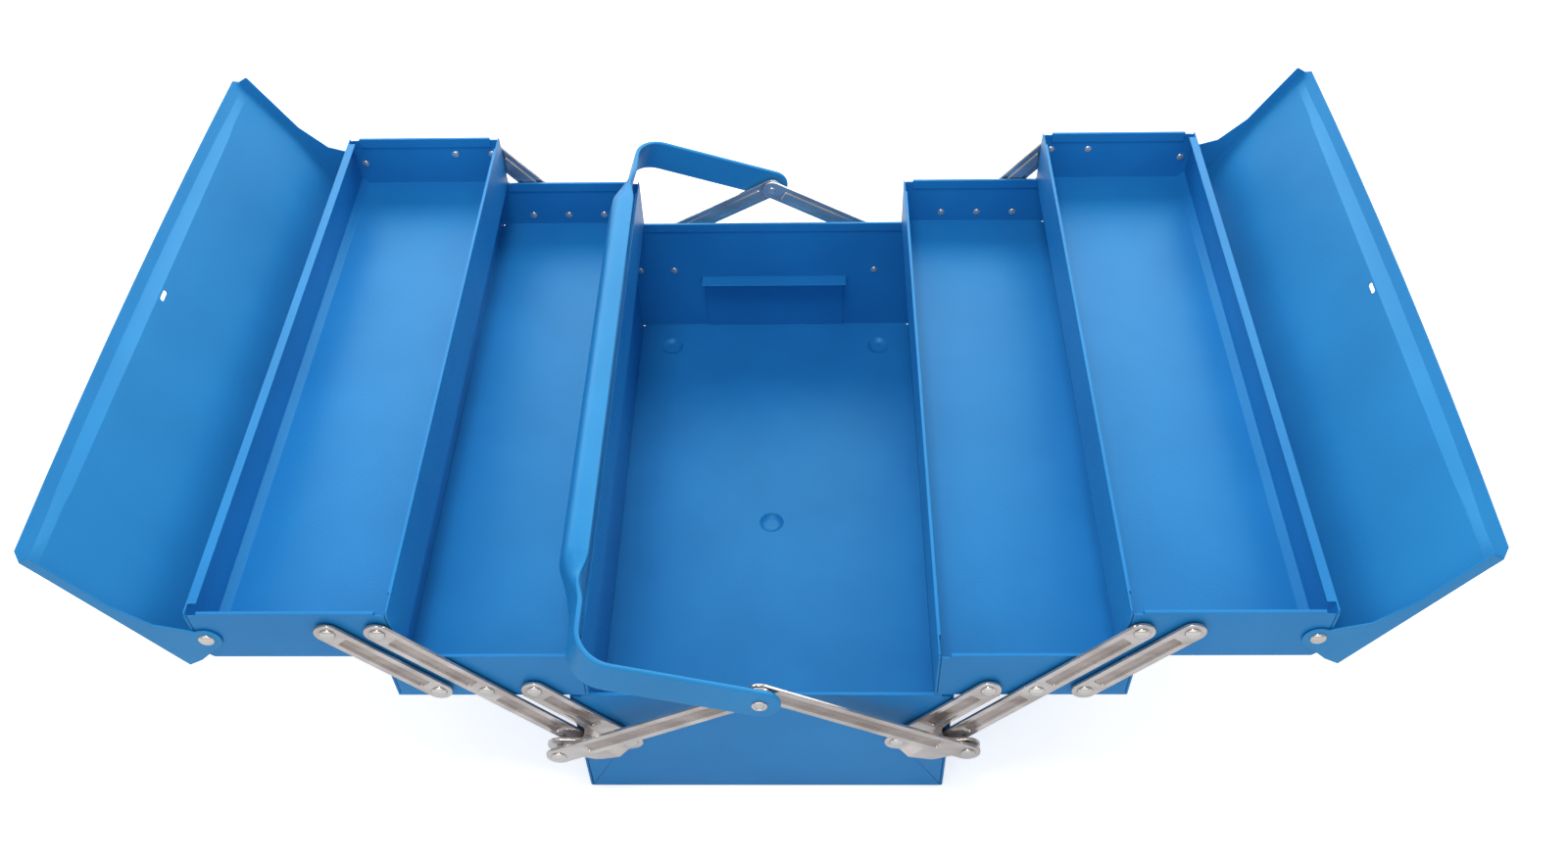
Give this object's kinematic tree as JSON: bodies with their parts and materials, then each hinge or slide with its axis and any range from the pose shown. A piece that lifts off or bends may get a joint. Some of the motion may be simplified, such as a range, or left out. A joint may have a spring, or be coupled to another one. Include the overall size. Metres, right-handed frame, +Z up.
{
  "type": "cantilever toolbox",
  "caption": "Folding steel toolbox with cantilever trays on riveted links, hinged lids and a strap carrying handle.",
  "frame": {"origin": "centre of the feet's footprint on the surface that the box stands on", "axes": "+Z up, X along the way the trays spread, Y along the box, the front end faces -Y"},
  "size_m": [0.769, 0.4626, 0.2454],
  "materials": {
    "blue_paint": "fine textured powder coat",
    "plated_steel": "plated, satin"
  },
  "bodies": {
    "box": {"bottom_box": "blue_paint", "rear_ledge": "blue_paint", "box_rivets": "plated_steel"},
    "crank_right": {"crank_link_front_right": "plated_steel", "crank_link_rear_right": "plated_steel", "crank_rivets_right": "plated_steel"},
    "long_links_right": {"long_link_front_right": "plated_steel", "long_link_rear_right": "plated_steel"},
    "middle_tray_right": {"middle_tray_right": "blue_paint", "middle_tray_rivets_right": "plated_steel"},
    "short_links_right": {"short_link_front_right": "plated_steel", "short_link_rear_right": "plated_steel"},
    "top_tray_right": {"top_tray_right": "blue_paint", "top_tray_rivets_right": "plated_steel"},
    "lid_right": {"lid_right": "blue_paint"},
    "handle_link_right": {"handle_link_front_right": "plated_steel", "handle_link_rear_right": "plated_steel", "handle_rivets": "plated_steel", "handle_link_tails": "plated_steel"},
    "crank_left": {"crank_link_front_left": "plated_steel", "crank_link_rear_left": "plated_steel", "crank_rivets_left": "plated_steel"},
    "long_links_left": {"long_link_front_left": "plated_steel", "long_link_rear_left": "plated_steel"},
    "middle_tray_left": {"middle_tray_left": "blue_paint", "middle_tray_rivets_left": "plated_steel"},
    "short_links_left": {"short_link_front_left": "plated_steel", "short_link_rear_left": "plated_steel"},
    "top_tray_left": {"top_tray_left": "blue_paint", "top_tray_rivets_left": "plated_steel"},
    "lid_left": {"lid_left": "blue_paint"},
    "handle_link_left": {"handle_link_front_left": "plated_steel", "handle_link_rear_left": "plated_steel", "handle_link_pins": "plated_steel"},
    "handle": {"handle": "blue_paint"}
  },
  "joints": [
    {"name": "right_fold", "type": "hinge", "parent": "box", "child": "crank_right", "pos_m": [0.0798, 0, 0.0615], "axis": [0, -1, 0], "range_deg": [0, 80.8]},
    {"name": "long_link_right_swing", "type": "hinge", "parent": "box", "child": "long_links_right", "pos_m": [0.107, 0, 0.0615], "axis": [0, -1, 0], "range_deg": [0, 80.8]},
    {"name": "middle_tray_right_pivot", "type": "hinge", "parent": "crank_right", "child": "middle_tray_right", "pos_m": [0.12932, 0, 0.11968], "axis": [0, -1, 0], "range_deg": [-80.8, 0]},
    {"name": "short_link_right_swing", "type": "hinge", "parent": "middle_tray_right", "child": "short_links_right", "pos_m": [0.18372, 0, 0.11968], "axis": [0, -1, 0], "range_deg": [0, 80.8]},
    {"name": "top_tray_right_pivot", "type": "hinge", "parent": "short_links_right", "child": "top_tray_right", "pos_m": [0.23323, 0, 0.17786], "axis": [0, -1, 0], "range_deg": [-80.8, 0]},
    {"name": "lid_right_hinge", "type": "hinge", "parent": "top_tray_right", "child": "lid_right", "pos_m": [0.30217, 0, 0.1701], "axis": [0, -1, 0], "range_deg": [0, 120.5]},
    {"name": "handle_link_right_swing", "type": "hinge", "parent": "crank_right", "child": "handle_link_right", "pos_m": [0.1212, 0, 0.0653], "axis": [0, -1, 0], "range_deg": [-105.17, 0]},
    {"name": "left_fold", "type": "hinge", "parent": "box", "child": "crank_left", "pos_m": [-0.0798, 0, 0.0615], "axis": [0, 1, 0], "range_deg": [0, 80.8]},
    {"name": "long_link_left_swing", "type": "hinge", "parent": "box", "child": "long_links_left", "pos_m": [-0.107, 0, 0.0615], "axis": [0, 1, 0], "range_deg": [0, 80.8]},
    {"name": "middle_tray_left_pivot", "type": "hinge", "parent": "crank_left", "child": "middle_tray_left", "pos_m": [-0.12932, 0, 0.11968], "axis": [0, 1, 0], "range_deg": [-80.8, 0]},
    {"name": "short_link_left_swing", "type": "hinge", "parent": "middle_tray_left", "child": "short_links_left", "pos_m": [-0.18372, 0, 0.11968], "axis": [0, 1, 0], "range_deg": [0, 80.8]},
    {"name": "top_tray_left_pivot", "type": "hinge", "parent": "short_links_left", "child": "top_tray_left", "pos_m": [-0.23323, 0, 0.17786], "axis": [0, 1, 0], "range_deg": [-80.8, 0]},
    {"name": "lid_left_hinge", "type": "hinge", "parent": "top_tray_left", "child": "lid_left", "pos_m": [-0.30217, 0, 0.1701], "axis": [0, 1, 0], "range_deg": [0, 120.5]},
    {"name": "handle_link_left_swing", "type": "hinge", "parent": "crank_left", "child": "handle_link_left", "pos_m": [-0.1212, 0, 0.0653], "axis": [0, 1, 0], "range_deg": [-105.17, 0]},
    {"name": "handle_swing", "type": "hinge", "parent": "handle_link_right", "child": "handle", "pos_m": [0, 0, 0.1325], "axis": [0, 1, 0], "range_deg": [0, 136.1]}
  ],
  "couplings": [
    {"joint": "long_link_right_swing", "follows": "right_fold", "ratio": 1},
    {"joint": "middle_tray_right_pivot", "follows": "right_fold", "ratio": -1},
    {"joint": "short_link_right_swing", "follows": "right_fold", "ratio": 1},
    {"joint": "top_tray_right_pivot", "follows": "right_fold", "ratio": -1},
    {"joint": "handle_link_right_swing", "follows": "right_fold", "ratio": -1.3016},
    {"joint": "left_fold", "follows": "right_fold", "ratio": 1},
    {"joint": "long_link_left_swing", "follows": "right_fold", "ratio": 1},
    {"joint": "middle_tray_left_pivot", "follows": "right_fold", "ratio": -1},
    {"joint": "short_link_left_swing", "follows": "right_fold", "ratio": 1},
    {"joint": "top_tray_left_pivot", "follows": "right_fold", "ratio": -1},
    {"joint": "handle_link_left_swing", "follows": "right_fold", "ratio": -1.3016}
  ]
}
